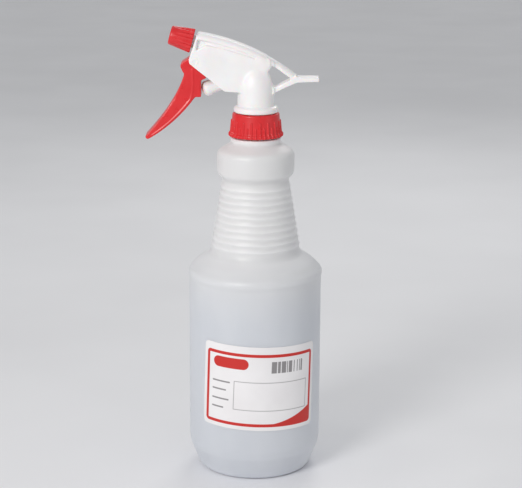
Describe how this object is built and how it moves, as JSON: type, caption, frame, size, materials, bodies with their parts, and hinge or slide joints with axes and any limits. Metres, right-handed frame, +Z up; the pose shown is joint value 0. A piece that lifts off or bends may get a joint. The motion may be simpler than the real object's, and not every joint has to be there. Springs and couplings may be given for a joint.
{
  "type": "trigger spray bottle",
  "caption": "Round ribbed-neck spray bottle with a white trigger sprayer head, red trigger, screw collar and adjustable nozzle, and a blank write-in label.",
  "frame": {"origin": "on the bottle's axis, on the plane that the base ring stands on", "axes": "+Z up along the bottle's axis; -X is the way the nozzle and the trigger face; +Y completes the right-handed frame, and the label is centred near -Y"},
  "size_m": [0.1113, 0.085, 0.2849],
  "materials": {
    "bottle_plastic": "satin blow-moulded polyethylene",
    "label_paper": "matt white film with a red border",
    "red_plastic": "semi-gloss moulded polypropylene",
    "white_plastic": "semi-gloss moulded polypropylene",
    "tube_plastic": "smooth extruded polyethylene",
    "seal_rubber": "moulded elastomer",
    "steel": "drawn stainless wire"
  },
  "bodies": {
    "bottle_body": {"bottle": "bottle_plastic", "front_label": "label_paper"},
    "head_carrier": {"gasket": "seal_rubber"},
    "head": {"pump_body": "white_plastic", "shroud": "white_plastic", "barrel_plug": "white_plastic", "dip_tube": "tube_plastic", "tube_holder": "tube_plastic", "pivot_pin": "steel", "return_spring": "steel", "valve_spring": "steel", "swirl_insert": "white_plastic"},
    "collar": {"closure_nut": "red_plastic"},
    "ball": {"inlet_ball": "steel"},
    "plunger": {"piston": "white_plastic", "piston_seal": "seal_rubber", "vent_seal": "seal_rubber"},
    "lever": {"trigger": "red_plastic"},
    "outlet": {"discharge_valve": "seal_rubber"},
    "nozzle_carrier": {"nozzle_seal": "seal_rubber"},
    "nozzle": {"nozzle_cap": "red_plastic"}
  },
  "joints": [
    {"name": "head_lift", "type": "slide", "parent": "bottle_body", "child": "head_carrier", "axis": [0, 0, 1], "range_m": [0, 0.00528]},
    {"name": "head_swivel", "type": "hinge", "parent": "head_carrier", "child": "head", "pos_m": [0, 0, 0.228], "axis": [0, 0, 1], "continuous": true},
    {"name": "nut_turn", "type": "hinge", "parent": "head_carrier", "child": "collar", "pos_m": [0, 0, 0.22], "axis": [0, 0, 1], "range_deg": [0, 450]},
    {"name": "inlet_lift", "type": "slide", "parent": "head", "child": "ball", "axis": [0, 0, 1], "range_m": [0, 0.0015]},
    {"name": "trigger_pull", "type": "hinge", "parent": "head", "child": "lever", "pos_m": [-0.0379, 0, 0.2636], "axis": [0, -1, 0], "range_deg": [0, 24], "stiffness_Nm_per_rad": 0.25, "springref_deg": -20.05},
    {"name": "piston_stroke", "type": "slide", "parent": "head", "child": "plunger", "axis": [0.9336, 0, 0.3584], "range_m": [0, 0.0078], "deforming": ["return_spring"]},
    {"name": "outlet_lift", "type": "slide", "parent": "head", "child": "outlet", "axis": [-0.9659, 0, 0.2588], "range_m": [0, 0.0012], "stiffness_N_per_m": 60, "springref_m": -0.003, "deforming": ["valve_spring"]},
    {"name": "nozzle_advance", "type": "slide", "parent": "head", "child": "nozzle_carrier", "axis": [-0.9659, 0, 0.2588], "range_m": [0, 0.0024]},
    {"name": "nozzle_turn", "type": "hinge", "parent": "nozzle_carrier", "child": "nozzle", "pos_m": [-0.0388, 0, 0.2755], "axis": [-0.9659, 0, 0.2588], "range_deg": [0, 360]}
  ],
  "couplings": [
    {"joint": "nut_turn", "follows": "head_lift", "rad_per_m": 1485.4},
    {"joint": "piston_stroke", "follows": "trigger_pull", "m_per_rad": 0.01815},
    {"joint": "nozzle_turn", "follows": "nozzle_advance", "rad_per_m": 2617.9}
  ]
}
